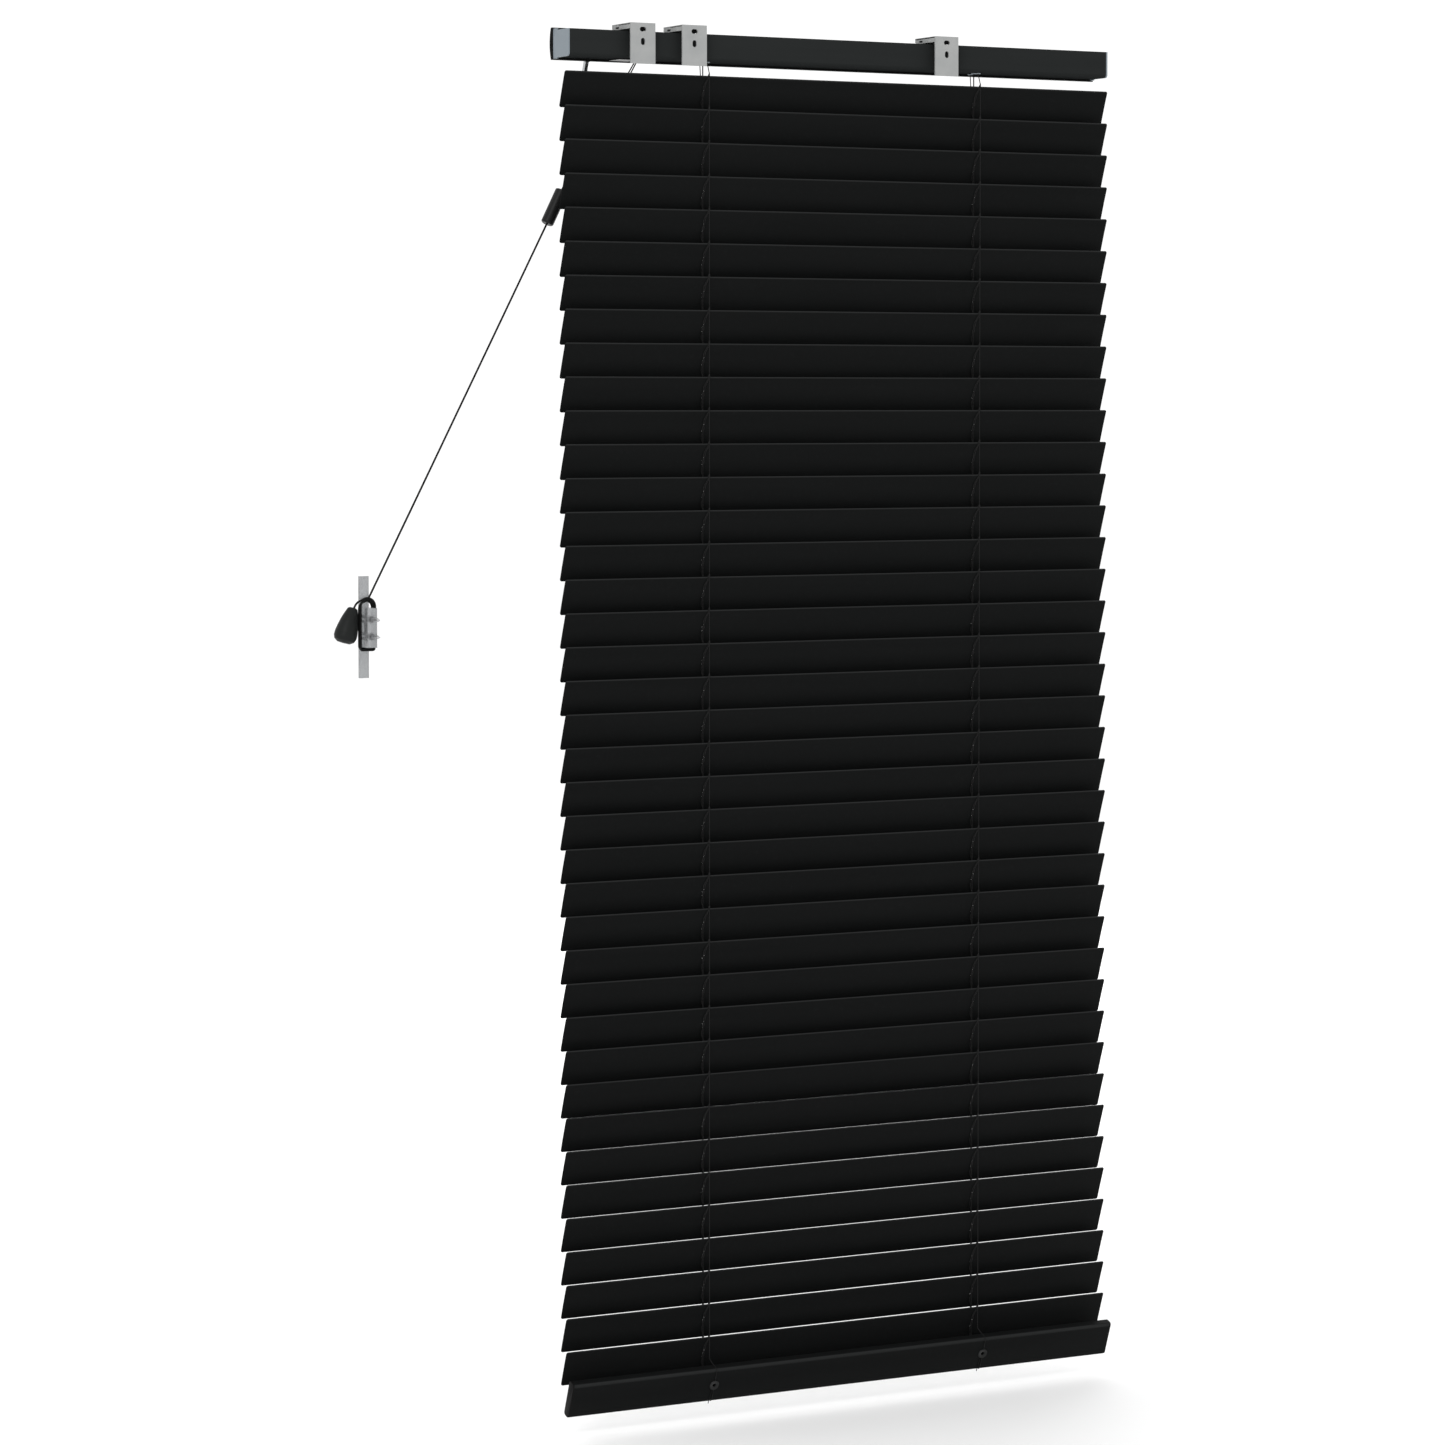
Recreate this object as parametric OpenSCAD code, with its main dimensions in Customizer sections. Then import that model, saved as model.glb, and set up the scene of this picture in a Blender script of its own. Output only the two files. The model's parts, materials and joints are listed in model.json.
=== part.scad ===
// Venetian blind with a corded lift, a worm-driven slat tilt and a wall cleat.
// X runs along the blind with 0 at mid width, +Y points into the room from the wall plane,
// and +Z points up from the plane that the tops of the brackets press against.
// The slats are drawn closed, with their window edges up.

/* [Slats] */
// Length of a slat and of the fascia
blind_w = 600; // [590:1:606]
// Width of a slat from edge to edge
slat_w = 35.6; // [34:0.1:35.8]
// Thickness of the slat strip
slat_t = 0.4; // [0.3:0.05:0.5]
// Height of the crown across a slat
slat_crown = 0.25; // [0.1:0.05:0.4]
// Radius of a slat's corners in plan
slat_corner_r = 2; // [1:0.5:4]
// Distance between the turning axes of neighbouring slats
slat_pitch = 31.5; // [31:0.1:31.5]
// Angle of the closed slats above horizontal
closed_tilt = 70; // [60:1:70]

/* [Head rail] */
// Depth of the head rail channel from the wall side to the room side
rail_d = 27.6; // [27:0.1:28]
// Height of the head rail channel
rail_h = 25.5; // [25:0.1:26]
// Thickness of the rail sheet
rail_wall = 0.6; // [0.5:0.1:0.8]
// Gap from the wall plane to the rail
rail_standoff = 11; // [10.8:0.1:11.4]
// Gap from the ceiling plane to the rail
rail_drop = 7; // [6:0.1:7.5]
// Height of the fascia
fascia_h = 30; // [28:0.5:31]
// How far the fascia bulges in front of its edges
fascia_bulge = 2.6; // [1:0.1:3]
// Thickness of an end cap
cap_t = 1.6; // [1:0.1:2]

/* [Brackets] */
// Width of a bracket along the rail
bracket_w = 26; // [20:0.5:28]
// Height of a bracket's wall plate
bracket_h = 38; // [34:0.5:40]
// Depth of a bracket's ceiling flange
bracket_d = 38; // [36:0.5:38.5]
// Thickness of the bracket sheet
bracket_t = 1.5; // [1:0.1:2]

/* [Bottom rail] */
// Width of the bottom rail
bottom_w = 35.4; // [32:0.1:36]
// Thickness of the bottom rail
bottom_t = 9; // [8:0.1:9.5]
// Wall of the bottom rail
bottom_wall = 0.6; // [0.5:0.1:0.9]

/* [Cords and wand] */
// Diameter of each lift cord
lift_cord_d = 1.2; // [1:0.1:1.4]
// Diameter of the pull cord
pull_cord_d = 1.9; // [1.6:0.1:2]
// Diameter of the ladder strings
ladder_d = 0.6; // [0.5:0.1:0.7]
// Length of the wand
wand_l = 700; // [400:10:900]
// Width of the wand across its corners
wand_d = 6; // [5:0.1:6.4]

/* [Hidden] */
SLATS = 39;
function slat_name(i) = str("slat_", i < 10 ? "0" : "", i);
$fn = 48;
eps = 0.01;

// Slat axes: every slat turns about its own middle line.
axis_y = 20;
first_axis_z = -62.5;
function axis_z(i) = first_axis_z - (i - 1) * slat_pitch;
// Cord stations, mirrored about mid width. The ladder stands to one side of the lift cord.
station_x = 150;
ladder_dx = 1.7;
lift_dx = -1.7;
lift_slot_l = 7.4;
lift_slot_w = 1.7;
ladder_gap = 2.2;
ladder_r = slat_w / 2 + ladder_gap;

// Head rail
rail_y0 = rail_standoff;
rail_y1 = rail_standoff + rail_d;
rail_z1 = -rail_drop;
rail_z0 = -rail_drop - rail_h;
rail_mid_y = (rail_y0 + rail_y1) / 2;
rail_corner_r = 3.3;
rail_lip = 4;
drum_slot_l = 9;
drum_slot_w = 6;
string_exit_y = [17.4, 32.2];
string_hole_r = 1.6;
stem_hole_r = 3.4;
stem_hole_dy = -0.2;
cap_half_l = blind_w / 2 - 2;
rail_half_l = cap_half_l - cap_t;
cap_rim_l = 6;
cap_clear = 0.2;
cap_arm_reach = 2;
cap_arm_clear = 0.05;
fascia_y0 = rail_y1 + 1.6;
fascia_edge_t = 3;
fascia_sheet = 0.9;
fascia_z1 = rail_z1 + 2.6;

// Brackets
bracket_x = [-225.5, -171, 105.5];
bracket_lip = 4.2;
plate_slot_z = [-6, -17.4];
plate_slot_l = 6.6;
plate_slot_w = 4.4;
flange_slot_x = 9.2;
flange_slot_y = 29;
flange_slot_l = 10;
flange_slot_w = 4.2;
hook_w = 12;
hook_t = 1.2;
hook_reach = 3;
hook_y = rail_y0 + rail_lip + 0.3;
hook_z = rail_z1 - rail_wall - 0.05 - hook_t;

// Tilt mechanism
rod_z = -23.4;
rod_across = 5;
rod_x0 = -277;
rod_x1 = 168;
drum_r = 7.2;
drum_flange_r = 7.8;
drum_l = 7;
drum_x = -0.3;
hex_clear = 0.05;
tilter_x = -266.5;
stem_lean = 21;
stem_y = 35;
stem_r = 2.6;
stem_below = 21.5;
stem_above = 21;
worm_r = 2;
worm_core_r = 1.45;
worm_pitch = 1.5;
worm_turns = 7;
worm_start = 6.9;
gear_teeth = 16;
gear_r = 4.1;
gear_root_r = 3.3;
gear_w = 6;
ball_r = 2.7;
ball_neck_r = 1.3;
socket_r = 2.8;
cup_r = 4.3;
cup_open = 1.15;
cup_foot = 10.6;
cup_foot_wall = 0.4;
cup_taper = [3, 0.6];
cup_side_end = 2.4;
grip_extra = 1.4;
grip_below = 3;
grip_l = 16;

// Cord lock
lock_x0 = -231;
lock_x1 = -205;
lock_y0 = 28.2;
lock_y1 = 37.4;
lock_z1 = -12;
lock_wall = 1.3;
lock_floor = 1.6;
lock_lift = 1.2;
lock_post = [1.8, 6.2];
lock_post_y = 30.2;
lock_plate_x0 = -243;
lock_plate_x1 = -203;
lock_plate_y0 = 15;
lock_plate_w = 22;
lock_plate_t = 1;
plate_clear = 0.1;
lock_hole_x0 = -225;
lock_hole_x1 = -208;
lock_hole_y0 = 30;
lock_hole_w = 6.6;
lock_hole_edge = 2;
roller_r = 2.4;
roller_w = 5.8;
roller_knurl = 0.25;
roller_at = [-220.5, 32.8, -23];
trunnion_r = 1.1;
trunnion_gap = 2.4;
roller_lean = 25;
roller_travel = 3;

// Lift cord routes: up through the slats, over the drum, along the rail, through the lock
// and down to the joiner on the room side of the slats.
left_lift = [
    [-151.7, 20, -1282.5], [-151.7, 20, -18], [-152.6, 20, -15], [-155, 20.2, -13.6],
    [-204, 32, -13.6], [-209, 32.2, -15.4], [-211.6, 32.4, -19], [-213, 32.8, -25],
    [-214.8, 33.6, -31], [-217.2, 34.6, -35], [-221.7, 38, -44.7], [-230.2, 42, -61.2],
    [-252, 47, -99.5], [-287, 48.1, -155.2], [-288.9, 48, -158.8]];
right_lift = [
    [148.3, 20, -1282.5], [148.3, 20, -18], [147.4, 20.2, -15], [145, 21, -13.6],
    [-155, 22, -13.6], [-204, 33.8, -13.6], [-208.4, 34, -15.2], [-210.6, 34.2, -19],
    [-211.6, 34.4, -25], [-212.6, 34.6, -31], [-214.8, 35.4, -35], [-218.8, 38.6, -44.5],
    [-227.4, 42.6, -61.2], [-249.6, 47.6, -99.5], [-285.6, 47.9, -156], [-287.5, 48, -159.6]];
joiner_top = [-286.3, 48, -155.6];
joiner_end = [-302.6, 47, -186.8];
joiner_r = 6.1;
joiner_round = 2;
joiner_socket = 3;
pull_route = [
    [-302.6, 47, -186.8], [-353, 38.9, -275.4], [-451, 23, -447], [-500.5, 15, -534.2]];
tail_route = [
    [-506.8, 15.4, -533.4], [-509.4, 15.8, -534.4], [-512, 16, -537], [-513.9, 16, -540.9]];

// Cleat and what is on it
cleat_x = -502.5;
cleat_z = -557.8;
neck_w = 9.4;
neck_h = 36;
neck_d = 18.5;
horn_w = 9.4;
horn_l = 93;
horn_t = 2.2;
screw_dz = 7.8;
screw_seat_y = 3.8;
screw_hole_r = 1.9;
screw_head_hole_r = 3.4;
screw_r = 1.6;
screw_head_r = 3.1;
screw_head_t = 2.2;
screw_l = 21.8;
screw_point_l = 5;
winding_y = [12.8, 17.6];
winding_side = 8.3;
winding_dx = 1.2;
winding_top = 26.2;
winding_bottom = 24.2;
winding_clear = 0.25;
tassel_top = [-514.6, 16, -539.8];
tassel_end = [-524.2, 16, -571.8];
// Radius and distance from the top, down the tassel's side
tassel_side = [[3, 0], [4.6, 1], [6.8, 7], [8.3, 12], [9.6, 18], [10.5, 23.5],
               [10.5, 27.5], [9.2, 30.8], [6, 32.9]];

// Bottom rail: it turns about an axis above its own middle.
bottom_axis_z = axis_z(SLATS) - 23;
bottom_drop = 10.8;
bottom_corner_r = 2;
bottom_half_l = blind_w / 2 - 1.6;
plug_dx = 2.6;
plug_hole_r = 3.6;
top_hole_r = 2.6;

// ---- helpers ----

function unit(v) = v / norm(v);

// Direction of a route at point i, the mean of the two runs that meet there
function heading(p, i) =
    i == 0 ? unit(p[1] - p[0])
    : i == len(p) - 1 ? unit(p[i] - p[i - 1])
    : unit(unit(p[i] - p[i - 1]) + unit(p[i + 1] - p[i]));

// One ring of the tube round point c, square to direction t
function ring(c, t, r, n) =
    let (u = unit(cross(t, [0, 1, 0])), v = cross(t, u))
    [for (k = [0:n - 1]) c + r * (cos(360 * k / n) * u + sin(360 * k / n) * v)];

// A cord swept along a route
module cord(p, d, n = 8) {
    points = [for (i = [0:len(p) - 1]) each ring(p[i], heading(p, i), d / 2, n)];
    last = (len(p) - 1) * n;
    sides = [for (i = [0:len(p) - 2], k = [0:n - 1])
        [i * n + k, i * n + (k + 1) % n, (i + 1) * n + (k + 1) % n, (i + 1) * n + k]];
    ends = [[for (k = [0:n - 1]) n - 1 - k], [for (k = [0:n - 1]) last + k]];
    polyhedron(points, concat(sides, ends));
}

// Moves a child that is drawn up +Z from the origin so that it runs from a to b
module between(a, b) {
    d = b - a;
    translate(a)
        rotate([0, acos(d[2] / norm(d)), atan2(d[1], d[0])])
            children();
}

// Extrudes a profile drawn in the Y-Z plane along X, centred on mid width
module along_x(length) {
    rotate([90, 0, 90])
        linear_extrude(length, center = true)
            children();
}

// Rectangle with round corners, from its middle
module rounded_box_2d(w, h, r) {
    square([w - 2 * r, h], center = true);
    square([w, h - 2 * r], center = true);
    for (x = [-1, 1], y = [-1, 1])
        translate([x * (w / 2 - r), y * (h / 2 - r)])
            circle(r);
}

// Slot with round ends, running along the first axis
module slot_2d(l, w) {
    square([l - w, w], center = true);
    for (x = [-1, 1])
        translate([x * (l - w) / 2, 0])
            circle(w / 2);
}

// ---- head rail and what holds it ----

module rail_profile(inset) {
    depth = rail_d - 2 * inset;
    height = rail_h - inset;
    translate([rail_mid_y, rail_z0 + inset + height / 2]) {
        rounded_box_2d(depth, height, rail_corner_r - inset);
        translate([0, height / 4])
            square([depth, height / 2], center = true);
    }
}

module head_rail() {
    color([0.15, 0.157, 0.157])
    difference() {
        along_x(2 * rail_half_l)
            difference() {
                rail_profile(0);
                difference() {
                    rail_profile(rail_wall);
                    for (y = [rail_y0, rail_y1 - rail_lip])
                        translate([y, rail_z1 - rail_wall])
                            square([rail_lip, rail_wall]);
                }
                translate([rail_y0 + rail_lip, rail_z1 - rail_wall - eps])
                    square([rail_d - 2 * rail_lip, rail_wall + 2 * eps]);
            }
        // ladder and lift cord openings
        for (x = [-station_x, station_x])
            translate([x, rail_mid_y, rail_z0 - 1])
                linear_extrude(3)
                    slot_2d(drum_slot_l, drum_slot_w);
        for (x = [-station_x, station_x], y = string_exit_y)
            translate([x + ladder_dx, y, rail_z0 - 1])
                cylinder(r = string_hole_r, h = 3);
        for (x = [-station_x, station_x])
            translate([x + lift_dx, axis_y, rail_z0 - 1])
                cylinder(r = string_hole_r, h = 3);
        // cord lock outlet
        translate([lock_hole_x0, lock_hole_y0, rail_z0 - 1])
            cube([lock_hole_x1 - lock_hole_x0, lock_hole_w, 3]);
        // tilter stem
        translate([tilter_x, stem_y + stem_hole_dy, rail_z0 - 1])
            cylinder(r = stem_hole_r, h = 3.2);
    }
}

module fascia_profile(inset) {
    half_h = fascia_h / 2 - inset;
    arc_r = (pow(fascia_h / 2, 2) + pow(fascia_bulge, 2)) / (2 * fascia_bulge);
    front_y = fascia_y0 + fascia_edge_t + fascia_bulge - arc_r;
    intersection() {
        translate([fascia_y0 - (inset > 0 ? 1 : 0), -half_h])
            square([fascia_edge_t + fascia_bulge + 2, 2 * half_h]);
        translate([front_y, 0])
            circle(arc_r - inset, $fn = 240);
    }
}

module fascia() {
    color([0.13, 0.137, 0.137])
    translate([0, 0, fascia_z1 - fascia_h / 2])
        along_x(blind_w)
            difference() {
                fascia_profile(0);
                fascia_profile(fascia_sheet);
            }
}

module end_cap() {
    rim_l = cap_rim_l;
    arm_z0 = fascia_z1 - fascia_h + fascia_sheet + cap_arm_clear;
    arm_h = fascia_h - 2 * (fascia_sheet + cap_arm_clear);
    translate([-cap_half_l + cap_t / 2, 0, 0]) {
        along_x(cap_t) {
            rail_profile(0);
            // arm that snaps between the fascia's two lips
            translate([rail_y1 - 4, arm_z0])
                square([fascia_y0 + cap_arm_reach - rail_y1 + 4, arm_h]);
        }
        translate([cap_t / 2 + rim_l / 2 - eps, 0, 0])
            along_x(rim_l)
                intersection() {
                    difference() {
                        rail_profile(rail_wall + cap_clear);
                        rail_profile(rail_wall + cap_clear + 1);
                    }
                    translate([rail_y0, rail_z0])
                        square([rail_d, rail_h - 2]);
                }
    }
}

module end_caps() {
    color([0.58, 0.62, 0.66]) {
        end_cap();
        mirror([1, 0, 0]) end_cap();
    }
}

module bracket() {
    difference() {
        union() {
            translate([-bracket_w / 2, 0, -bracket_h])
                cube([bracket_w, bracket_t, bracket_h]);
            translate([-bracket_w / 2, 0, -bracket_t])
                cube([bracket_w, bracket_d, bracket_t]);
            translate([-bracket_w / 2, bracket_d - bracket_t, -bracket_lip])
                cube([bracket_w, bracket_t, bracket_lip]);
        }
        translate([0, bracket_t + 1, plate_slot_z[0]])
            rotate([90, 0, 0])
                linear_extrude(bracket_t + 2)
                    slot_2d(plate_slot_l, plate_slot_w);
        translate([0, bracket_t + 1, plate_slot_z[1]])
            rotate([90, 90, 0])
                linear_extrude(bracket_t + 2)
                    slot_2d(plate_slot_l, plate_slot_w);
        for (x = [-flange_slot_x, flange_slot_x])
            translate([x, flange_slot_y, -bracket_t - 1])
                rotate([0, 0, 90])
                    linear_extrude(bracket_t + 2)
                        slot_2d(flange_slot_l, flange_slot_w);
    }
    // tongue through the rail's open top, with a hook under the wall-side lip
    translate([-hook_w / 2, hook_y, hook_z])
        cube([hook_w, hook_t, -bracket_t - hook_z + eps]);
    translate([-hook_w / 2, hook_y - hook_reach, hook_z])
        cube([hook_w, hook_reach + hook_t, hook_t]);
}

module brackets() {
    color([0.67, 0.68, 0.68])
    for (x = bracket_x)
        translate([x, 0, 0])
            bracket();
}

// ---- tilt mechanism ----

module tilt_rod() {
    color([0.72, 0.73, 0.74])
    translate([rod_x0, rail_mid_y, rod_z])
        rotate([0, 90, 0])
            cylinder(d = rod_across, h = rod_x1 - rod_x0, $fn = 6);
}

module ladder_drum() {
    difference() {
        union() {
            cylinder(r = drum_r, h = drum_l);
            cylinder(r = drum_flange_r, h = 1);
            translate([0, 0, drum_l - 1])
                cylinder(r = drum_flange_r, h = 1);
        }
        translate([0, 0, -1])
            cylinder(d = rod_across + 2 * hex_clear, h = drum_l + 2, $fn = 6);
    }
}

module ladder_drums() {
    color([0.86, 0.86, 0.84])
    for (x = [-station_x, station_x])
        translate([x + drum_x, rail_mid_y, rod_z])
            rotate([0, 90, 0])
                ladder_drum();
}

// Frame of the worm's stem: the origin is where its axis crosses the rail's underside,
// and +Z runs up the stem into the rail.
module on_stem() {
    translate([tilter_x, stem_y, rail_z0])
        rotate([stem_lean, 0, 0])
            children();
}

module tilter_worm() {
    color([0.75, 0.76, 0.77])
    on_stem() {
        rotate_extrude()
            polygon(concat(
                [[0, -stem_below], [ball_neck_r, -stem_below],
                 [ball_neck_r, -stem_below + 5], [stem_r, -stem_below + 6.5],
                 [stem_r, worm_start - 2.5], [worm_core_r, worm_start - 1]],
                [for (k = [0:worm_turns - 1]) each [
                    [worm_core_r, worm_start + k * worm_pitch],
                    [worm_r, worm_start + (k + 0.35) * worm_pitch],
                    [worm_r, worm_start + (k + 0.65) * worm_pitch]]],
                [[worm_core_r, worm_start + worm_turns * worm_pitch],
                 [worm_core_r, stem_above], [0, stem_above]]));
        translate([0, 0, -stem_below])
            sphere(ball_r);
    }
}

module tilter_gear() {
    color([0.86, 0.86, 0.84])
    translate([tilter_x - gear_w / 2, rail_mid_y, rod_z])
        rotate([0, 90, 0])
            linear_extrude(gear_w)
                difference() {
                    polygon([for (k = [0:gear_teeth - 1], s = [0:3])
                        let (a = 360 * (k + [0, 0.3, 0.5, 0.8][s]) / gear_teeth,
                             r = s < 2 ? gear_r : gear_root_r)
                        r * [cos(a), sin(a)]]);
                    circle(d = rod_across + 2 * hex_clear, $fn = 6);
                }
}

module wand() {
    ball = [tilter_x, stem_y + stem_below * sin(stem_lean),
            rail_z0 - stem_below * cos(stem_lean)];
    color([0.80, 0.81, 0.82])
    translate(ball) {
        difference() {
            rotate_extrude()
                polygon([[0, -cup_foot], [wand_d / 2 + cup_foot_wall, -cup_foot],
                         [wand_d / 2 + cup_taper[1], -cup_foot + cup_taper[0]],
                         [cup_r, -cup_side_end], [cup_r, cup_open], [0, cup_open]]);
            sphere(socket_r);
        }
        translate([0, 0, -cup_foot - wand_l])
            cylinder(d = wand_d, h = wand_l + eps, $fn = 6);
        translate([0, 0, -cup_foot - wand_l - grip_below])
            cylinder(d = wand_d + grip_extra, h = grip_l);
    }
}

// ---- cord lock ----

module trunnion_slot() {
    translate([roller_at[0], 0, roller_at[2]])
        rotate([0, -roller_lean, 0])
            translate([-trunnion_gap / 2, lock_y0 - 1, -trunnion_gap / 2])
                cube([trunnion_gap, lock_y1 - lock_y0 + 2, trunnion_gap + roller_travel]);
}

// The way out for the cords, through the lock's floor and its trim plate
module lock_outlet(z) {
    translate([lock_hole_x0 + lock_hole_edge, lock_y0 + lock_wall, z])
        cube([lock_hole_x1 - lock_hole_x0 - 2 * lock_hole_edge, lock_hole_w, 6]);
}

module cord_lock() {
    lock_z0 = rail_z0 + rail_wall + lock_lift;
    plate_z0 = rail_z0 - lock_plate_t - plate_clear;
    color([0.74, 0.75, 0.75]) {
        difference() {
            translate([lock_x0, lock_y0, lock_z0])
                cube([lock_x1 - lock_x0, lock_y1 - lock_y0, lock_z1 - lock_z0]);
            translate([lock_x0 - 1, lock_y0 + lock_wall, lock_z0 + lock_floor])
                cube([lock_x1 - lock_x0 + 2, lock_y1 - lock_y0 - 2 * lock_wall, rail_h]);
            lock_outlet(rail_z0 - 1);
            trunnion_slot();
        }
        // trim plate under the rail, with the same outlet
        difference() {
            translate([lock_plate_x0, lock_plate_y0, plate_z0])
                cube([lock_plate_x1 - lock_plate_x0, lock_plate_w, lock_plate_t]);
            lock_outlet(rail_z0 - 3);
        }
        // posts that join the plate to the housing through the rail's outlet
        for (x = [lock_hole_x0 + 0.2, lock_hole_x1 - 2])
            translate([x, lock_post_y, plate_z0])
                cube([lock_post[0], lock_post[1], lock_z0 - plate_z0 + 0.2]);
    }
}

module cord_lock_roller() {
    color([0.55, 0.56, 0.57])
    translate(roller_at)
        rotate([90, 0, 0]) {
            linear_extrude(roller_w, center = true)
                polygon([for (k = [0:35])
                    (k % 2 == 0 ? roller_r : roller_r - roller_knurl)
                    * [cos(10 * k), sin(10 * k)]]);
            cylinder(r = trunnion_r, h = lock_y1 - lock_y0 - 0.6, center = true);
        }
}

// ---- ladder strings and cords ----

module ladder_string(side, x) {
    a = side * ladder_r * cos(closed_tilt);
    b = side * ladder_r * sin(closed_tilt);
    translate([x + ladder_dx, axis_y + a, bottom_axis_z - b])
        cylinder(d = ladder_d, h = first_axis_z - bottom_axis_z, $fn = 16);
}

module ladder_strings_window() {
    color([0.1, 0.1, 0.1])
    for (x = [-station_x, station_x])
        ladder_string(-1, x);
}

module ladder_strings_room() {
    color([0.1, 0.1, 0.1])
    for (x = [-station_x, station_x])
        ladder_string(1, x);
}

module lift_cords() {
    color([0.08, 0.08, 0.08]) {
        cord(left_lift, lift_cord_d);
        cord(right_lift, lift_cord_d);
    }
}

module pull_cord() {
    color([0.08, 0.08, 0.08]) {
        cord(pull_route, pull_cord_d);
        cord(tail_route, pull_cord_d);
    }
}

module cord_joiner() {
    l = norm(joiner_end - joiner_top);
    r = joiner_r;
    c = joiner_round;
    color([0.11, 0.11, 0.11])
    between(joiner_top, joiner_end)
        rotate_extrude()
            polygon(concat(
                [[0, joiner_socket], [2.6, joiner_socket], [2.6, 0]],
                [for (a = [0:15:90]) [r - 1 + sin(a), 1 - cos(a)]],
                [for (a = [0:15:90]) [r - c + c * cos(a), l - c + c * sin(a)]],
                [[0, l]]));
}

module cord_winding() {
    color([0.06, 0.06, 0.06])
    translate([cleat_x, winding_y[1], cleat_z])
        rotate([90, 0, 0])
            linear_extrude(winding_y[1] - winding_y[0])
                difference() {
                    translate([winding_dx, (winding_top - winding_bottom) / 2])
                        rotate(90)
                            slot_2d(winding_top + winding_bottom, 2 * winding_side);
                    square([neck_w + 2 * winding_clear, neck_h + 2 * winding_clear],
                           center = true);
                }
}

module tassel() {
    color([0.13, 0.135, 0.135])
    between(tassel_top, tassel_end)
        rotate_extrude()
            polygon(concat([[0, 0]], tassel_side,
                           [[0, norm(tassel_end - tassel_top)]]));
}

// ---- cleat ----

module cleat_frame() {
    translate([cleat_x, 0, cleat_z])
        children();
}

module cleat() {
    color([0.86, 0.87, 0.88, 0.6])
    cleat_frame()
        difference() {
            union() {
                translate([-neck_w / 2, 0, -neck_h / 2])
                    cube([neck_w, neck_d, neck_h]);
                translate([-horn_w / 2, neck_d - eps, -horn_l / 2])
                    cube([horn_w, horn_t, horn_l]);
            }
            for (z = [-screw_dz, screw_dz])
                translate([0, 0, z])
                    rotate([-90, 0, 0]) {
                        translate([0, 0, -1])
                            cylinder(r = screw_hole_r, h = neck_d);
                        translate([0, 0, screw_seat_y])
                            cylinder(r = screw_head_hole_r, h = neck_d + horn_t);
                    }
        }
}

module cleat_screws() {
    color([0.7, 0.71, 0.72])
    cleat_frame()
        for (z = [-screw_dz, screw_dz])
            translate([0, screw_seat_y, z])
                rotate([90, 0, 0])
                    rotate_extrude()
                        polygon([[0, -screw_head_t], [screw_head_r - 0.9, -screw_head_t],
                                 [screw_head_r, -screw_head_t + 0.9], [screw_head_r, 0],
                                 [screw_r, 0], [screw_r, screw_l - screw_point_l],
                                 [0, screw_l]]);
}

// ---- bottom rail and slats ----

// Turns a piece from lying flat, room edge towards +Y, to its closed position
module closed_about(z) {
    translate([0, axis_y, z])
        rotate([-closed_tilt, 0, 0])
            children();
}

module bottom_rail() {
    color([0.15, 0.157, 0.157])
    closed_about(bottom_axis_z)
        difference() {
            translate([0, 0, -bottom_drop])
                along_x(2 * bottom_half_l)
                    difference() {
                        rounded_box_2d(bottom_w, bottom_t, bottom_corner_r);
                        rounded_box_2d(bottom_w - 2 * bottom_wall,
                                       bottom_t - 2 * bottom_wall,
                                       bottom_corner_r - bottom_wall);
                    }
            for (x = [-station_x, station_x]) {
                translate([x + plug_dx, 0, -bottom_drop - bottom_t / 2 - 1])
                    cylinder(r = plug_hole_r, h = 1 + bottom_t / 2);
                translate([x + lift_dx, 0, -bottom_drop])
                    cylinder(r = top_hole_r, h = bottom_t);
            }
        }
}

// Arc points of the slat's skin at height offset z0, from edge s to edge -s
function slat_arc(s, z0) =
    let (steps = 8)
    [for (k = [0:steps])
        let (y = s * slat_w * (0.5 - k / steps))
        [y, z0 + slat_crown * (1 - pow(2 * y / slat_w, 2))]];

module slat(i) {
    color([0.08, 0.082, 0.082])
    closed_about(axis_z(i))
        intersection() {
            along_x(blind_w)
                polygon(concat(slat_arc(1, slat_t / 2), slat_arc(-1, -slat_t / 2)));
            translate([0, 0, -2])
                linear_extrude(4)
                    difference() {
                        rounded_box_2d(blind_w, slat_w, slat_corner_r);
                        for (x = [-station_x, station_x])
                            translate([x + lift_dx, 0])
                                rotate(90)
                                    slot_2d(lift_slot_l, lift_slot_w);
                    }
        }
}

head_rail();
fascia();
end_caps();
brackets();
tilt_rod();
ladder_drums();
tilter_worm();
tilter_gear();
wand();
cord_lock();
cord_lock_roller();
ladder_strings_window();
ladder_strings_room();
lift_cords();
pull_cord();
cord_winding();
cord_joiner();
tassel();
cleat();
cleat_screws();
bottom_rail();
for (i = [1:SLATS])
    slat(i);
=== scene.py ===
import json
import math

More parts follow.
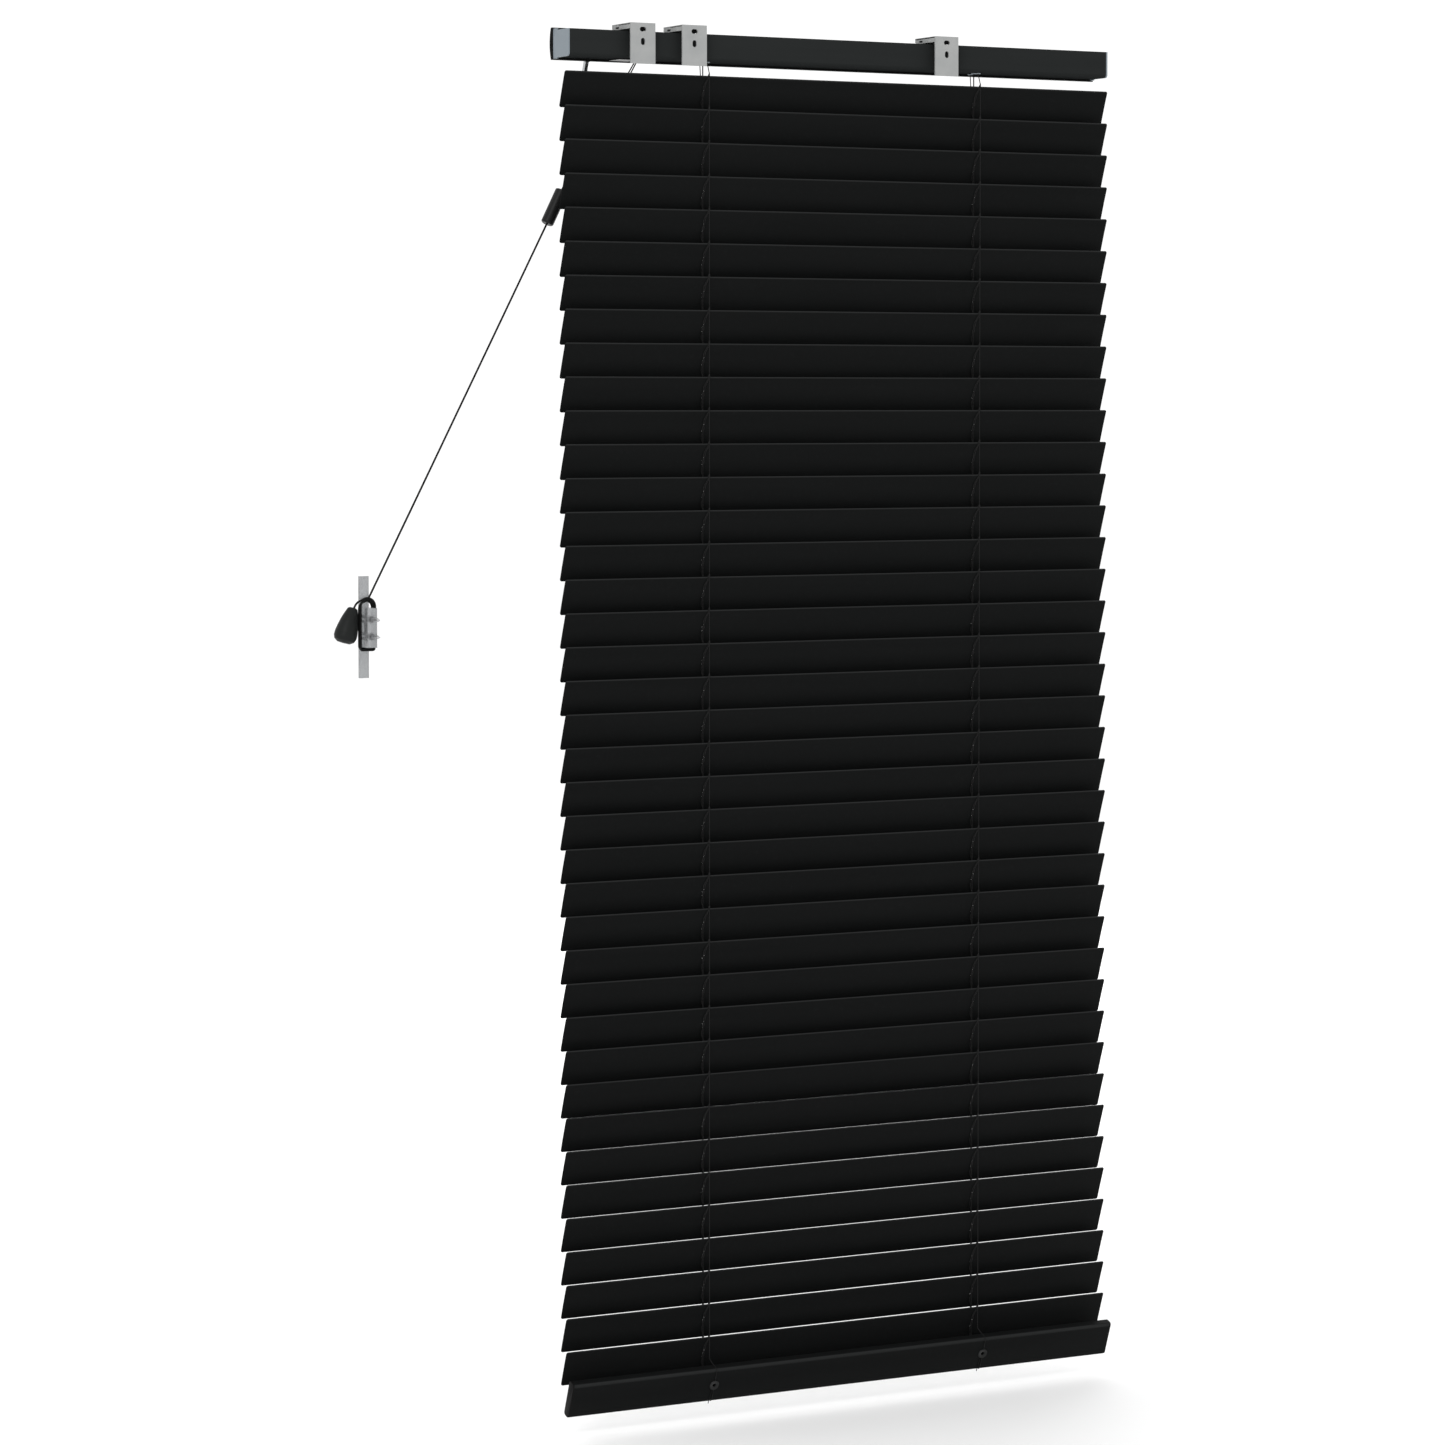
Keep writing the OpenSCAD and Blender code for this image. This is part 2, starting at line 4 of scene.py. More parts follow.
import bmesh
import bpy
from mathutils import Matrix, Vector


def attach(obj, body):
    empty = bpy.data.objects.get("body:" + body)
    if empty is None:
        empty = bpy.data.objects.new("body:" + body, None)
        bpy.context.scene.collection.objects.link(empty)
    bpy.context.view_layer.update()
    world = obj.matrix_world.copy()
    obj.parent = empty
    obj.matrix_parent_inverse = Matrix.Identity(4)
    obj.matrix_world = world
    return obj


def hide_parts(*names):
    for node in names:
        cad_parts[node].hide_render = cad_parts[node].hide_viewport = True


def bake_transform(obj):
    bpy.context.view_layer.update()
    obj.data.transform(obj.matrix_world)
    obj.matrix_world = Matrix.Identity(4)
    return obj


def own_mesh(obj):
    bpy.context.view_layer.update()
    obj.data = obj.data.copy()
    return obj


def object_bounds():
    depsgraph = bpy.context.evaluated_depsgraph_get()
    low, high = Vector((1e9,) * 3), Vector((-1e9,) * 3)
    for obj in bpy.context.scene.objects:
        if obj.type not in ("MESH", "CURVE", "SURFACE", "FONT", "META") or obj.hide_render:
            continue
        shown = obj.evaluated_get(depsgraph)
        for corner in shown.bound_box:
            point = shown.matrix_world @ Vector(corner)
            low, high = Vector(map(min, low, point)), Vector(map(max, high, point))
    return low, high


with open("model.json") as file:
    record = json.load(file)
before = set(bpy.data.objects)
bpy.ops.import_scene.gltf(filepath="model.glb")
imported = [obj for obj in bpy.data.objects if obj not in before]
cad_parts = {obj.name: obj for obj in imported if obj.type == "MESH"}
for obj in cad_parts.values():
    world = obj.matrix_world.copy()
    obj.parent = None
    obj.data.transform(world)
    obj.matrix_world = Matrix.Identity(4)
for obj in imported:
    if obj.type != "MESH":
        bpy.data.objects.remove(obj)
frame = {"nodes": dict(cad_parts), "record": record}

cad_low, cad_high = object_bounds()
MM = 0.001

# Facts that the CAD source states, in millimetres, and the slat's closed angle.
AXIS_Y = 20.0
FIRST_AXIS_Z = -62.5
PITCH = 31.5
SLATS = 39
CLOSED = math.radians(70)
BOTTOM_AXIS_Z = -1282.5
BOTTOM_DROP = 10.8
STATIONS = (-150.0, 150.0)
LADDER_DX = 1.7
LIFT_DX = -1.7
LADDER_R = 20.0
BAR_W = 35.4
BAR_T = 9.0
STRING_EXIT_Y = {"window": 17.4, "room": 32.2}
PLUG_DX = 2.6
BRACKETS = (-225.5, -171.0, 105.5)
STEM_AT = Vector((-266.5, 35.0, -32.5))
STEM_LEAN = math.radians(21)
ROD = Vector((0.0, 24.8, -23.4))


def axis_z(i):
    return FIRST_AXIS_Z - (i - 1) * PITCH


def closed(y, z, z0):
    """A point (y, z) of a piece that lies flat, turned to its closed place about the axis at height z0."""
    c, s = math.cos(CLOSED), math.sin(CLOSED)
    return AXIS_Y + y * c + z * s, z0 - y * s + z * c


# ---- camera and lights ----

# The photograph's viewpoint, in millimetres. Its uprights converge little, so part of its framing is a shift.
CAMERA_AT = Vector((-2164.4, -3724.0, -356.0))
CAMERA_YAW = math.radians(28.513)
CAMERA_PITCH = math.radians(-2.203)
CAMERA_LENS = 111.865
CAMERA_SENSOR = 36.0
CAMERA_SHIFT_Y = -0.10
LIGHTS_AIM = Vector((0, 0, -0.65))


def make_camera():
    data = bpy.data.cameras.new("camera")
    data.lens, data.sensor_width, data.shift_y = CAMERA_LENS, CAMERA_SENSOR, CAMERA_SHIFT_Y
    data.clip_start, data.clip_end = 0.05, 100
    cam = bpy.data.objects.new("camera", data)
    cam.location = CAMERA_AT * MM
    level = math.cos(CAMERA_PITCH)
    look = Vector((math.sin(CAMERA_YAW) * level, math.cos(CAMERA_YAW) * level, math.sin(CAMERA_PITCH)))
    cam.rotation_euler = look.to_track_quat("-Z", "Y").to_euler()
    bpy.context.scene.collection.objects.link(cam)
    bpy.context.scene.camera = cam


def area_light(name, at, size, watts):
    data = bpy.data.lights.new(name, "AREA")
    data.shape, data.size, data.energy = "DISK", size, watts
    lamp = bpy.data.objects.new(name, data)
    lamp.location = at
    lamp.rotation_euler = (LIGHTS_AIM - Vector(at)).to_track_quat("-Z", "Y").to_euler()
    bpy.context.scene.collection.objects.link(lamp)


make_camera()


# ---- cords: smooth routes ----

def rounded(points, cut, steps=6):
    """The route with each corner replaced by a short curve that starts at most cut before it."""
    pts = [Vector(p) for p in points]
    out = [pts[0]]
    for a, p, b in zip(pts, pts[1:], pts[2:]):
        c = min(cut, (p - a).length * 0.49, (b - p).length * 0.49)
        start = p + (a - p).normalized() * c
        end = p + (b - p).normalized() * c
        for k in range(steps + 1):
            t = k / steps
            out.append(start * (1 - t) ** 2 + p * 2 * t * (1 - t) + end * t * t)
    out.append(pts[-1])
    return out


def cord_curve(name, points, diameter, material_name, body):
    data = bpy.data.curves.new(name, "CURVE")
    data.dimensions = "3D"
    data.bevel_depth = diameter / 2 * MM
    data.bevel_resolution = 2
    data.use_fill_caps = True
    spline = data.splines.new("POLY")
    spline.points.add(len(points) - 1)
    for p, q in zip(spline.points, points):
        p.co = (q[0] * MM, q[1] * MM, q[2] * MM, 1)
    obj = bpy.data.objects.new(name, data)
    bpy.context.scene.collection.objects.link(obj)
    data.materials.append(MATERIALS[material_name])
    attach(obj, body)
    return obj


# The routes of part.scad, apart from the pull cord's last point. It stands 2.7 mm from the source's, over the
# cleat's top, so that the first turn starts there.
# Each lift cord is held by the blind as far as the lock's mouth and runs free from there.
LEFT_LIFT = [
    (-151.7, 20, -1282.5), (-151.7, 20, -18), (-152.6, 20, -15), (-155, 20.2, -13.6),
    (-204, 32, -13.6), (-209, 32.2, -15.4), (-211.6, 32.4, -19), (-213, 32.8, -25),
    (-214.8, 33.6, -31), (-217.2, 34.6, -35), (-221.7, 38, -44.7), (-230.2, 42, -61.2),
    (-252, 47, -99.5), (-287, 48.1, -155.2), (-288.9, 48, -158.8)]
RIGHT_LIFT = [
    (148.3, 20, -1282.5), (148.3, 20, -18), (147.4, 20.2, -15), (145, 21, -13.6),
    (-155, 22, -13.6), (-204, 33.8, -13.6), (-208.4, 34, -15.2), (-210.6, 34.2, -19),
    (-211.6, 34.4, -25), (-212.6, 34.6, -31), (-214.8, 35.4, -35), (-218.8, 38.6, -44.5),
    (-227.4, 42.6, -61.2), (-249.6, 47.6, -99.5), (-285.6, 47.9, -156), (-287.5, 48, -159.6)]
PULL_ROUTE = [(-302.6, 47, -186.8), (-353, 38.9, -275.4), (-451, 23, -447), (-499.4, 16.0, -532.0)]
TAIL_ROUTE = [(-506.8, 15.4, -533.4), (-509.4, 15.8, -534.4), (-512, 16, -537), (-513.9, 16, -540.9)]
LIFT_D = 1.2
PULL_D = 1.9
LADDER_D = 0.7
TOP_STRING_D = 0.9
LOCK_MOUTH_Z = -32.6
LOCK_FROM_X = -200


# ---- materials ----

def new_material(name):
    m = bpy.data.materials.new(name)
    m.use_nodes = True
    return m, m.node_tree, m.node_tree.nodes["Principled BSDF"]


def add(tree, kind, **values):
    node = tree.nodes.new(kind)
    for key, value in values.items():
        setattr(node, key, value)
    return node


def noise(tree, coords, scale, detail=4.0, stretch=None):
    if stretch is not None:
        mapping = add(tree, "ShaderNodeMapping")
        mapping.inputs["Scale"].default_value = stretch
        tree.links.new(coords, mapping.inputs["Vector"])
        coords = mapping.outputs["Vector"]
    node = add(tree, "ShaderNodeTexNoise")
    node.inputs["Scale"].default_value = scale
    node.inputs["Detail"].default_value = detail
    tree.links.new(coords, node.inputs["Vector"])
    return node.outputs["Fac"]


def ranged(tree, value, low, high, from_low=0.3, from_high=0.7):
    node = add(tree, "ShaderNodeMapRange")
    node.inputs["From Min"].default_value = from_low
    node.inputs["From Max"].default_value = from_high
    node.inputs["To Min"].default_value = low
    node.inputs["To Max"].default_value = high
    tree.links.new(value, node.inputs["Value"])
    return node.outputs["Result"]


def mixed(tree, fac, a, b):
    node = add(tree, "ShaderNodeMix", data_type="RGBA")
    tree.links.new(fac, node.inputs["Factor"])
    for socket, value in ((node.inputs[6], a), (node.inputs[7], b)):
        if isinstance(value, bpy.types.NodeSocket):
            tree.links.new(value, socket)
        else:
            socket.default_value = (*value, 1)
    return node.outputs[2]


def bump(tree, shader, height, strength, distance, under=None):
    node = add(tree, "ShaderNodeBump")
    node.inputs["Strength"].default_value = strength
    node.inputs["Distance"].default_value = distance
    tree.links.new(height, node.inputs["Height"])
    if under is not None:
        tree.links.new(under, node.inputs["Normal"])
    tree.links.new(node.outputs["Normal"], shader.inputs["Normal"])
    return node.outputs["Normal"]


def surface(name, dark, light, rough, metallic=0.0, specular=0.5, patch=35.0, grain=900.0, stretch=None):
    """A finish whose tone and gloss vary in soft patches, with fine grain in its relief."""
    m, tree, shader = new_material(name)
    coords = add(tree, "ShaderNodeTexCoord").outputs["Object"]
    patches = noise(tree, coords, patch, 5.0, stretch)
    fine = noise(tree, coords, grain, 2.0, stretch)
    tone = mixed(tree, ranged(tree, patches, 0.0, 1.0), dark, light)
    tree.links.new(tone, shader.inputs["Base Color"])
    tree.links.new(ranged(tree, fine, rough[0], rough[1]), shader.inputs["Roughness"])
    shader.inputs["Metallic"].default_value = metallic
    shader.inputs["Specular IOR Level"].default_value = specular
    bump(tree, shader, fine, 0.35, 0.00004)
    return m


def enamel(name, dark, light, dust_and_painted_highlight, edge_low, edge_high, rough, specular):
    """Coil-coated black enamel: streaks along the strip, light dust, and a painted highlight along the window
    edge.

    The painted highlight fades out between the distances edge_low and edge_high from the wall plane, in
    metres.
    """
    m, tree, shader = new_material(name)
    coords = add(tree, "ShaderNodeTexCoord").outputs["Object"]
    streaks = noise(tree, coords, 12.0, 5.0, (0.25, 1.0, 6.0))
    dust = noise(tree, coords, 260.0, 3.0)
    fine = noise(tree, coords, 1400.0, 2.0)
    tone = mixed(tree, ranged(tree, streaks, 0.0, 1.0), dark, light)
    tone = mixed(tree, ranged(tree, dust, 0.0, 0.06, 0.56, 0.8), tone, dust_and_painted_highlight)
    # Painted highlight: along the window edge the finish moves up to 0.75 of the way to the lighter colour,
    # fading out with distance from the wall plane.
    split = add(tree, "ShaderNodeSeparateXYZ")
    tree.links.new(coords, split.inputs["Vector"])
    edge = ranged(tree, split.outputs["Y"], 0.75, 0.0, edge_low, edge_high)
    tone = mixed(tree, edge, tone, dust_and_painted_highlight)
    tree.links.new(tone, shader.inputs["Base Color"])
    tree.links.new(ranged(tree, streaks, rough[0], rough[1]), shader.inputs["Roughness"])
    shader.inputs["Specular IOR Level"].default_value = specular
    first = bump(tree, shader, streaks, 0.12, 0.0006)
    bump(tree, shader, fine, 0.25, 0.00003, first)
    return m


def braid(name, dark, light, pitch_mm, specular):
    """Braided cord: two crossed sets of fine strands."""
    m, tree, shader = new_material(name)
    coords = add(tree, "ShaderNodeTexCoord").outputs["Object"]
    waves = []
    for turn in (0.9, -0.9):
        mapping = add(tree, "ShaderNodeMapping")
        mapping.inputs["Rotation"].default_value = (turn, turn * 0.6, turn)
        tree.links.new(coords, mapping.inputs["Vector"])
        wave = add(tree, "ShaderNodeTexWave")
        wave.inputs["Scale"].default_value = 1000.0 / pitch_mm / 6.28
        wave.inputs["Distortion"].default_value = 0.6
        tree.links.new(mapping.outputs["Vector"], wave.inputs["Vector"])
        waves.append(wave.outputs["Fac"])
    cross = add(tree, "ShaderNodeMath", operation="MAXIMUM")
    tree.links.new(waves[0], cross.inputs[0])
    tree.links.new(waves[1], cross.inputs[1])
    weave = cross.outputs["Value"]
    tree.links.new(mixed(tree, weave, dark, light), shader.inputs["Base Color"])
    tree.links.new(ranged(tree, weave, 0.9, 0.7, 0.0, 1.0), shader.inputs["Roughness"])
    shader.inputs["Specular IOR Level"].default_value = specular
    shader.inputs["Sheen Weight"].default_value = 0.02
    bump(tree, shader, weave, 0.6, 0.00012)
    return m


def clear_plastic(name, tint, rough, transmission):
    m, tree, shader = new_material(name)
    coords = add(tree, "ShaderNodeTexCoord").outputs["Object"]
    cloud = noise(tree, coords, 60.0, 4.0)
    fine = noise(tree, coords, 1200.0, 2.0)
    shade = tuple(c * 0.86 for c in tint)
    tree.links.new(mixed(tree, ranged(tree, cloud, 0.0, 1.0), shade, tint), shader.inputs["Base Color"])
    tree.links.new(ranged(tree, cloud, rough[0], rough[1]), shader.inputs["Roughness"])
    shader.inputs["Transmission Weight"].default_value = transmission
    shader.inputs["IOR"].default_value = 1.49
    bump(tree, shader, fine, 0.3, 0.00005)
    return m


# The third colour of each enamel is its dust and its painted highlight along the window edge, which the next
# two numbers bound.
MATERIALS = {
    "slat_black": enamel("slat_black", (0.0048, 0.0052, 0.0052), (0.0060, 0.0064, 0.0064),
                         (0.030, 0.031, 0.031), 0.0138, 0.0143, (0.5, 0.62), 0.03),
    "bottom_rail_black": enamel("bottom_rail_black", (0.0052, 0.0056, 0.0056), (0.0066, 0.0070, 0.0070),
                                (0.022, 0.023, 0.023), 0.0004, 0.0009, (0.5, 0.6), 0.03),
    "rail_black": enamel("rail_black", (0.0145, 0.0158, 0.0158), (0.0172, 0.0187, 0.0187),
                         (0.03, 0.032, 0.032), 0.0109, 0.01102, (0.6, 0.7), 0.0),
    "fascia_black": enamel("fascia_black", (0.0090, 0.0098, 0.0098), (0.0125, 0.0133, 0.0133),
                           (0.03, 0.031, 0.031), 0.0401, 0.0403, (0.4, 0.5), 0.12),
    "cap_grey": surface("cap_grey", (0.172, 0.200, 0.222), (0.20, 0.230, 0.255), (0.45, 0.6),
                        specular=0.3),
    "bracket_grey": surface("bracket_grey", (0.275, 0.283, 0.283), (0.325, 0.33, 0.326), (0.42, 0.58),
                            metallic=0.2, patch=50.0),
    "plated_steel": surface("plated_steel", (0.46, 0.46, 0.47), (0.60, 0.60, 0.61), (0.25, 0.4), metallic=1.0,
                            stretch=(0.08, 1, 1), grain=700.0),
    "die_cast_zinc": surface("die_cast_zinc", (0.40, 0.41, 0.42), (0.55, 0.56, 0.57), (0.2, 0.3),
                             metallic=1.0),
    "lock_metal": surface("lock_metal", (0.42, 0.43, 0.43), (0.58, 0.585, 0.59), (0.28, 0.42), metallic=0.85,
                          stretch=(0.15, 1, 1)),
    "white_plastic": surface("white_plastic", (0.66, 0.66, 0.63), (0.76, 0.76, 0.74), (0.35, 0.5)),
    "clear_wand": clear_plastic("clear_wand", (0.80, 0.83, 0.85), (0.06, 0.16), 0.75),
    "cleat_clear": clear_plastic("cleat_clear", (0.42, 0.43, 0.44), (0.08, 0.2), 0.7),
    "ladder_black": braid("ladder_black", (0.006, 0.006, 0.006), (0.018, 0.018, 0.018), 0.5, 0.06),
    "cord_black": braid("cord_black", (0.003, 0.003, 0.003), (0.009, 0.009, 0.009), 0.7, 0.06),
    "joiner_black": surface("joiner_black", (0.0065, 0.0065, 0.007), (0.010, 0.010, 0.010), (0.28, 0.4),
                            specular=0.15),
    "tassel_black": surface("tassel_black", (0.0090, 0.0100, 0.0097), (0.0120, 0.0131, 0.0127), (0.4, 0.5),
                            specular=0.1),
    "lever_black": surface("lever_black", (0.004, 0.004, 0.004), (0.006, 0.006, 0.006), (0.5, 0.6),
                           specular=0.05),
    # the knot in each plug: near black and without gloss, as painted shade of the plug's hole
    "cord_hole_dark": surface("cord_hole_dark", (0.001, 0.001, 0.001), (0.002, 0.002, 0.002), (0.7, 0.85),
                              specular=0.0),
    "plug_black": surface("plug_black", (0.0085, 0.0088, 0.0088), (0.0125, 0.013, 0.013), (0.3, 0.4),
                          specular=0.2),
}


RAIL_FLOOR_Z = -0.0325


def darken_below(m, z, colour):
    """Gives a finish another colour below height z, where a trim plate shows under the rail."""
    tree = m.node_tree
    shader = tree.nodes["Principled BSDF"]
    tone = shader.inputs["Base Color"].links[0].from_socket
    split = add(tree, "ShaderNodeSeparateXYZ")
    tree.links.new(add(tree, "ShaderNodeTexCoord").outputs["Object"], split.inputs["Vector"])
    share = ranged(tree, split.outputs["Z"], 1.0, 0.0, z - 0.00005, z + 0.00005)
    tree.links.new(mixed(tree, share, tone, colour), shader.inputs["Base Color"])


darken_below(MATERIALS["lock_metal"], RAIL_FLOOR_Z, (0.012, 0.012, 0.012))

for entry in frame["record"]["subparts"]:
    node_object = frame["nodes"][entry["node"]]
    for material_slot in node_object.material_slots:
        material_slot.material = MATERIALS[entry["material_slot"]]


# ---- mesh helpers, all in millimetres until the mesh is closed ----

SMOOTH_BELOW = math.radians(35)


def finish_mesh(name, bm, material_name, body):
    bmesh.ops.remove_doubles(bm, verts=bm.verts, dist=1e-4)
    bmesh.ops.recalc_face_normals(bm, faces=bm.faces)
    bmesh.ops.scale(bm, vec=(MM, MM, MM), verts=bm.verts)
    data = bpy.data.meshes.new(name)
    bm.to_mesh(data)
    bm.free()
    for face in data.polygons:
        face.use_smooth = True
    data.set_sharp_from_angle(angle=SMOOTH_BELOW)
    obj = bpy.data.objects.new(name, data)
    bpy.context.scene.collection.objects.link(obj)
    data.materials.append(MATERIALS[material_name])
    if body is not None:
        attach(obj, body)
    return obj


def tube(bm, points, radius, sides):
    """A closed round tube along points."""
    pts = [Vector(p) for p in points]
    rings = []
    side = None
    for i, p in enumerate(pts):
        a, b = pts[max(i - 1, 0)], pts[min(i + 1, len(pts) - 1)]
        along = (b - a).normalized()
        if side is None:
            side = along.orthogonal().normalized()
        side = (side - along * side.dot(along)).normalized()
        other = along.cross(side)
        rings.append([bm.verts.new(p + (side * math.cos(t) + other * math.sin(t)) * radius)
                      for t in (2 * math.pi * k / sides for k in range(sides))])
    for a, b in zip(rings, rings[1:]):
        for k in range(sides):
            bm.faces.new((a[k], a[(k + 1) % sides], b[(k + 1) % sides], b[k]))
    bm.faces.new(rings[0][::-1])
    bm.faces.new(rings[-1])


def lathe(bm, profile, at, direction, sides):
    """A closed profile of (radius, height) turned about direction through at."""
    z = Vector(direction).normalized()
    x = z.orthogonal().normalized()
    y = z.cross(x)
    at = Vector(at)
    rings = []
    for r, h in profile:
        if r < 1e-6:
            rings.append([bm.verts.new(at + z * h)])
        else:
            rings.append([bm.verts.new(at + z * h + (x * math.cos(t) + y * math.sin(t)) * r)
                          for t in (2 * math.pi * k / sides for k in range(sides))])
    closed_profile = profile[0][0] > 1e-6 or profile[-1][0] > 1e-6
    pairs = list(zip(rings, rings[1:])) + ([(rings[-1], rings[0])] if closed_profile else [])
    for a, b in pairs:
        for k in range(sides):
            quad = [a[k % len(a)], a[(k + 1) % len(a)], b[(k + 1) % len(b)], b[k % len(b)]]
            corners = list(dict.fromkeys(quad))
            if len(corners) > 2:
                bm.faces.new(corners)


def prism(bm, outline, place, low, high, bevel):
    """A solid of a closed outline, from low to high along the third direction of place(a, b, h)."""
    rings = [[bm.verts.new(place(a, b, h)) for a, b in outline] for h in (low, high)]
    n = len(outline)
    faces = [bm.faces.new(rings[0][::-1]), bm.faces.new(rings[1])]
    for k in range(n):
        bm.faces.new((rings[0][k], rings[0][(k + 1) % n], rings[1][(k + 1) % n], rings[1][k]))
    if bevel:
        edges = [e for f in faces for e in f.edges]
        bmesh.ops.bevel(bm, geom=edges, offset=bevel, segments=2, affect="EDGES", profile=0.6)


def across(x):
    """Places an outline of (y, z) and its height along x, from x."""
    return lambda a, b, h: Vector((x + h, a, b))


def facing(x, z):
    """Places an outline about (x, z) and its height along y."""
    return lambda a, b, h: Vector((x + a, h, b + z))


def level(x, y):
    """Places an outline about (x, y) and its height along z."""
    return lambda a, b, h: Vector((x + a, b + y, h))


def rounded_rect(w, h, r):
    steps = 5
    out = []
    for sx, sy, start in ((1, 1, 0), (-1, 1, 90), (-1, -1, 180), (1, -1, 270)):
        for k in range(steps + 1):
            t = math.radians(start + 90 * k / steps)
            out.append((sx * (w / 2 - r) + r * math.cos(t), sy * (h / 2 - r) + r * math.sin(t)))
    return out


# ---- the cords ----


def make_lift_cord(side, points):
    route = rounded(points, 4.0)
    split = max(i for i, p in enumerate(route) if p.z > LOCK_MOUTH_Z and p.x < LOCK_FROM_X)
    held, free = route[:split + 1], route[split:]
    obj = cord_curve("lift_cord_" + side, held, LIFT_D, "cord_black", "fixed_frame")
    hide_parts("lift_cords")
    strand = cord_curve("lift_cord_strand_" + side, free, LIFT_D, "cord_black", "fixed_frame")


def winding_route():
    """Turns of the pull cord round the cleat's neck, round over its top and square under its foot.

    Each turn lies nearer the wall than the last and a little outside it. The last one ends over the top,
    where the tail leaves.
    """
    turns, arc_steps, grow, spacing = 3, 8, 0.8, 2.0
    left, first_right, first_top, first_foot = -508.45, -496.4, -540.6, -577.0
    first_y, tail_y = 16.5, 15.2
    first_share, last_share = 0.5, 0.7
    points = [Vector(PULL_ROUTE[-1])]
    y = first_y
    for turn in range(turns + 1):
        right, top, foot = first_right + grow * turn, first_top + grow * turn, first_foot - grow * turn
        half, mid = (right - left) / 2, (right + left) / 2
        from_y = y
        y = tail_y if turn == turns else first_y - spacing * turn
        for k in range(arc_steps + 1):
            share = k / arc_steps
            if (turn == 0 and share < first_share) or (turn == turns and share > last_share):
                continue
            points.append(Vector((mid + half * math.cos(math.pi * share), from_y + (y - from_y) * share,
                                  top + half * math.sin(math.pi * share))))
        if turn < turns:
            points += [Vector((left, y, foot)), Vector((right, y, foot))]
    return rounded(points, 2.0, 4)


make_lift_cord("left", LEFT_LIFT)
make_lift_cord("right", RIGHT_LIFT)


def make_pull_cord():
    pull_points = rounded(PULL_ROUTE, 12.0) + winding_route()[1:] + rounded(TAIL_ROUTE, 3.0)
    pull = cord_curve("pull_cord_whole", pull_points, PULL_D, "cord_black", "fixed_frame")
    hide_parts("pull_cord", "cord_winding")


make_pull_cord()


# ---- ladders: rungs, knots, top stretches and tails ----

THREAD_R = 0.36


def rung_route(side, face, z0, station):
    """One of a rung's threads, under the slat (face -1) or over it (face 1).

    The two threads of a face pass each side of the lift cord, cross, and meet at the strings. They cross
    nearer the slat's middle on the half where the lift cord is on the other face.
    """
    near, far, apart, narrowing, steps = 0.13, 0.22, 1.0, 0.7, 15
    lift = -0.62 if face < 0 else 0.86
    shift_from, shift_over, string_from = 0.35, 0.6, 0.9
    pts = []
    for k in range(-steps, steps + 1):
        t = k / steps
        a = abs(t)
        over = min(max((a - shift_from) / shift_over, 0), 1)
        over = over * over * (3 - 2 * over)
        x = station + LIFT_DX + (LADDER_DX - LIFT_DX) * over
        cross_at = near if t * face > 0 else far
        dx = side * apart * math.cos(math.pi / 2 * min(a / cross_at, 2)) * (1 - narrowing * a)
        rise = lift if a < string_from else lift * (1 - (a - string_from) / 0.1)
        pts.append((x + dx, *closed(t * LADDER_R, rise, z0)))
    return pts


def make_rung(i):
    bm = bmesh.new()
    z0 = axis_z(i)
    for station in STATIONS:
        for side in (-1, 1):
            for face in (-1, 1):
                tube(bm, rung_route(side, face, z0, station), THREAD_R, 6)
        for t in (-1, 1):
            y, z = closed(t * LADDER_R, 0, z0)
            lathe(bm, [(0, -1.1), (0.42, -0.8), (0.55, 0), (0.42, 0.8), (0, 1.1)],
                  (station + LADDER_DX, y, z), (0, 0, 1), 10)
    finish_mesh("ladder_rung_%02d" % i, bm, "ladder_black", "slat_%02d" % i)


for slat_number in range(1, SLATS + 1):
    make_rung(slat_number)


def make_top_stretches():
    rail_foot, in_rail, drum_r, steps = -33.4, -31, 7.5, 24
    for side, sign in (("window", -1), ("room", 1)):
        exit_y = STRING_EXIT_Y[side]
        end_y, end_z = closed(sign * LADDER_R, 0, axis_z(1))
        for station in STATIONS:
            x = station + LADDER_DX
            bm = bmesh.new()
            pts = [(x, exit_y + (end_y - exit_y) * k / steps, rail_foot + (end_z - rail_foot) * k / steps)
                   for k in range(steps + 1)]
            tube(bm, pts, TOP_STRING_D / 2, 8)
            name = "ladder_top_%s_%s" % (side, "left" if station < 0 else "right")
            obj = finish_mesh(name, bm, "ladder_black", None)
            if side == "window":
                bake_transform(obj)
            else:
                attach(obj, "fixed_frame")
                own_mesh(obj)
            bm = bmesh.new()
            to_drum = [(x, exit_y, rail_foot), (x, exit_y, in_rail), (x, ROD.y + sign * drum_r, ROD.z)]
            tube(bm, to_drum, TOP_STRING_D / 2, 8)
            finish_mesh(name + "_inner", bm, "ladder_black", "fixed_frame")


make_top_stretches()


def bar(y, z):
    """A point of the bottom rail as it lies flat, with z from its turning axis."""
    return closed(y, z, BOTTOM_AXIS_Z)


